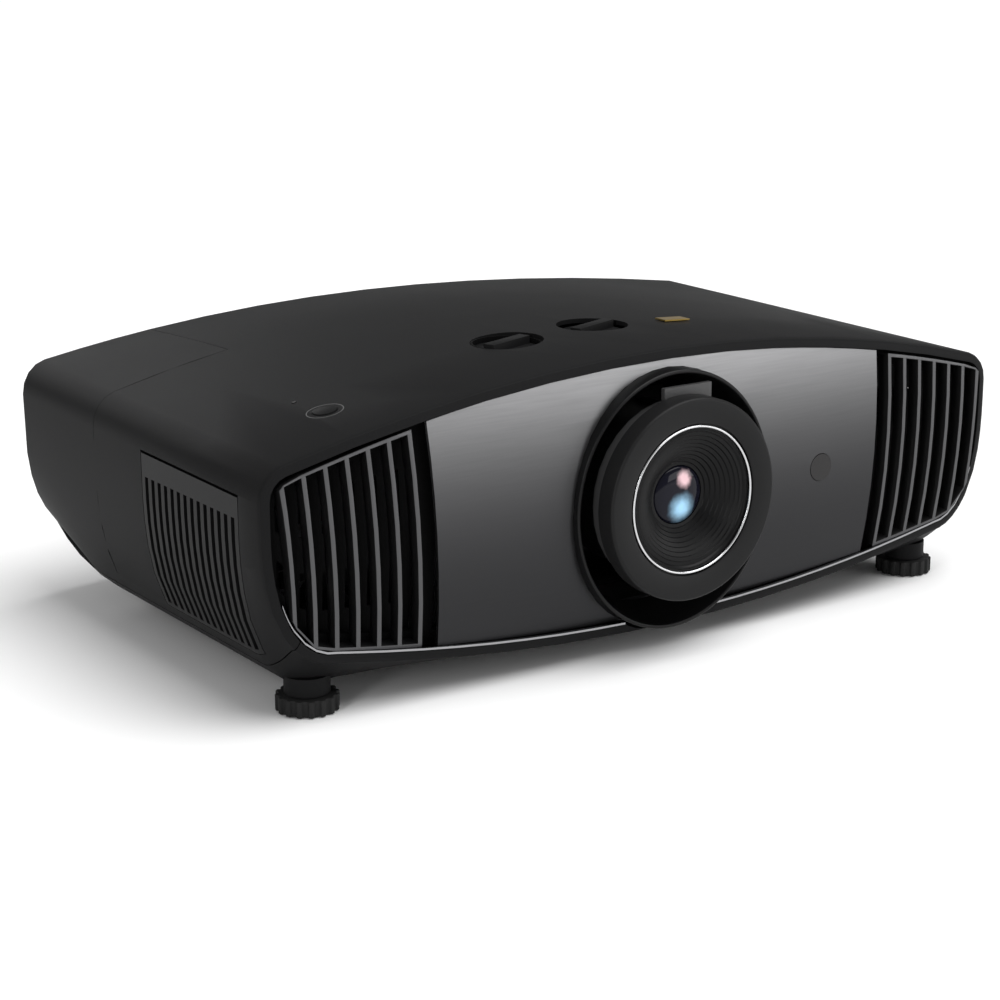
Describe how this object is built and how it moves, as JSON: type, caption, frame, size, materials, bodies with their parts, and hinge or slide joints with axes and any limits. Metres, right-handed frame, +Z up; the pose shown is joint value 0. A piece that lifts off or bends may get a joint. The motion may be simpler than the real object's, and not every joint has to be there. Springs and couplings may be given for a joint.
{
  "type": "home projector",
  "caption": "Home projector with a crowned black casing, curved metal front, side louvres, a shiftable zoom lens in an oval hood, and adjustable feet.",
  "frame": {"origin": "on the floor under the middle of the object's box", "axes": "+Z up, lens looks along -Y, +X to the right of a viewer facing the lens"},
  "size_m": [0.4934, 0.3344, 0.167],
  "materials": {
    "casing": "fine textured black plastic",
    "grille": "black plastic slats",
    "gunmetal": "satin gunmetal",
    "fin": "satin dark grey",
    "inner_black": "flat black",
    "mesh": "flat black mesh",
    "bright_trim": "brushed",
    "lens_black": "satin black",
    "silver": "polished",
    "glass": "coated glass",
    "window": "smoked window",
    "gold": "gold plated",
    "steel": "bare steel",
    "cast": "die cast",
    "brass": "machined brass",
    "board": "circuit board",
    "rubber": "black rubber"
  },
  "bodies": {
    "casing": {"top_cover": "casing", "bottom_case": "casing", "rear_panel": "casing", "left_side_grille": "grille", "right_side_grille": "grille", "front_panel": "gunmetal", "front_ir_window": "window", "left_lower_trim": "bright_trim", "right_lower_trim": "bright_trim", "front_frame": "inner_black", "left_front_fins": "fin", "right_front_fins": "fin", "left_front_screen": "mesh", "right_front_screen": "mesh", "lens_hood": "lens_black", "gold_badge": "gold", "indicator_light": "window", "lens_mount_frame": "steel", "left_lift_rod": "steel", "right_lift_rod": "steel", "dial_wells": "inner_black", "chassis_plate": "steel", "optics_housing": "cast", "wheel_motor": "cast", "lamp_housing": "cast", "chip_heatsink": "silver", "intake_fan_frame": "inner_black", "exhaust_fan_frame": "inner_black", "power_board": "board", "main_board": "board", "video_sockets": "steel", "mains_inlet": "inner_black", "left_rear_foot": "rubber", "right_rear_foot": "rubber"},
    "lamp_door": {"lamp_door": "casing"},
    "power_button": {"power_button": "casing"},
    "menu_key_1": {"menu_key_1": "inner_black"},
    "menu_key_2": {"menu_key_2": "inner_black"},
    "lift_knob": {"lift_dial": "casing", "lift_screw": "steel"},
    "cross_knob": {"cross_dial": "casing", "cross_pinion": "brass"},
    "lift_carriage": {"lift_plate": "steel", "lower_cross_rod": "steel", "upper_cross_rod": "steel"},
    "lens_carriage": {"cross_plate": "steel", "shift_rack": "brass", "lens_barrel": "lens_black", "lens_trim_ring": "silver", "lens_baffle": "lens_black", "front_glass": "glass"},
    "zoom": {"zoom_ring": "lens_black"},
    "focus": {"focus_ring": "lens_black"},
    "colour_wheel": {"colour_wheel": "glass"},
    "intake_rotor": {"intake_fan_rotor": "inner_black"},
    "exhaust_rotor": {"exhaust_fan_rotor": "inner_black"},
    "left_foot_stem": {"left_foot_stem": "steel"},
    "left_foot_pad": {"left_foot_pad": "rubber"},
    "right_foot_stem": {"right_foot_stem": "steel"},
    "right_foot_pad": {"right_foot_pad": "rubber"}
  },
  "joints": [
    {"name": "lamp_door_slide", "type": "slide", "parent": "casing", "child": "lamp_door", "axis": [-1, 0, 0], "range_m": [0, 0.04]},
    {"name": "power_button_press", "type": "slide", "parent": "casing", "child": "power_button", "axis": [0.2021, 0.0055, -0.9793], "range_m": [0, 0.0012], "stiffness_N_per_m": 400},
    {"name": "menu_key_1_press", "type": "slide", "parent": "casing", "child": "menu_key_1", "axis": [0, -1, 0], "range_m": [0, 0.001], "stiffness_N_per_m": 400},
    {"name": "menu_key_2_press", "type": "slide", "parent": "casing", "child": "menu_key_2", "axis": [0, -1, 0], "range_m": [0, 0.001], "stiffness_N_per_m": 400},
    {"name": "lens_lift", "type": "slide", "parent": "casing", "child": "lift_carriage", "axis": [0, 0, 1], "range_m": [-0.007, 0.007]},
    {"name": "lens_cross", "type": "slide", "parent": "lift_carriage", "child": "lens_carriage", "axis": [1, 0, 0], "range_m": [-0.0045, 0.0045]},
    {"name": "lift_dial_turn", "type": "hinge", "parent": "casing", "child": "lift_knob", "pos_m": [-0.054, -0.07, 0.15], "axis": [0, 0, 1], "range_deg": [-541, 541]},
    {"name": "cross_dial_turn", "type": "hinge", "parent": "casing", "child": "cross_knob", "pos_m": [0.007, -0.066, 0.15], "axis": [0, 0, 1], "range_deg": [-37, 37]},
    {"name": "zoom_turn", "type": "hinge", "parent": "lens_carriage", "child": "zoom", "pos_m": [0, -0.15, 0.0879], "axis": [0, -1, 0], "range_deg": [-20, 20]},
    {"name": "focus_turn", "type": "hinge", "parent": "lens_carriage", "child": "focus", "pos_m": [0, -0.16, 0.0879], "axis": [0, -1, 0], "range_deg": [-60, 60]},
    {"name": "colour_wheel_spin", "type": "hinge", "parent": "casing", "child": "colour_wheel", "pos_m": [-0.118, 0.035, 0.075], "axis": [1, 0, 0], "continuous": true},
    {"name": "intake_fan_spin", "type": "hinge", "parent": "casing", "child": "intake_rotor", "pos_m": [-0.193, -0.11, 0.073], "axis": [0, 1, 0], "continuous": true},
    {"name": "exhaust_fan_spin", "type": "hinge", "parent": "casing", "child": "exhaust_rotor", "pos_m": [0.193, -0.11, 0.073], "axis": [0, 1, 0], "continuous": true},
    {"name": "left_foot_height", "type": "slide", "parent": "casing", "child": "left_foot_stem", "axis": [0, 0, 1], "range_m": [-0.012, 0]},
    {"name": "left_foot_turn", "type": "hinge", "parent": "left_foot_stem", "child": "left_foot_pad", "pos_m": [-0.209, -0.115, 0.004], "axis": [0, 0, 1], "range_deg": [-2161, 1]},
    {"name": "right_foot_height", "type": "slide", "parent": "casing", "child": "right_foot_stem", "axis": [0, 0, 1], "range_m": [-0.012, 0]},
    {"name": "right_foot_turn", "type": "hinge", "parent": "right_foot_stem", "child": "right_foot_pad", "pos_m": [0.209, -0.115, 0.004], "axis": [0, 0, 1], "range_deg": [-2161, 1]}
  ],
  "couplings": [
    {"joint": "lift_dial_turn", "follows": "lens_lift", "rad_per_m": 1346.4},
    {"joint": "cross_dial_turn", "follows": "lens_cross", "rad_per_m": 142.86},
    {"joint": "left_foot_turn", "follows": "left_foot_height", "rad_per_m": 3141.6},
    {"joint": "right_foot_turn", "follows": "right_foot_height", "rad_per_m": 3141.6}
  ]
}
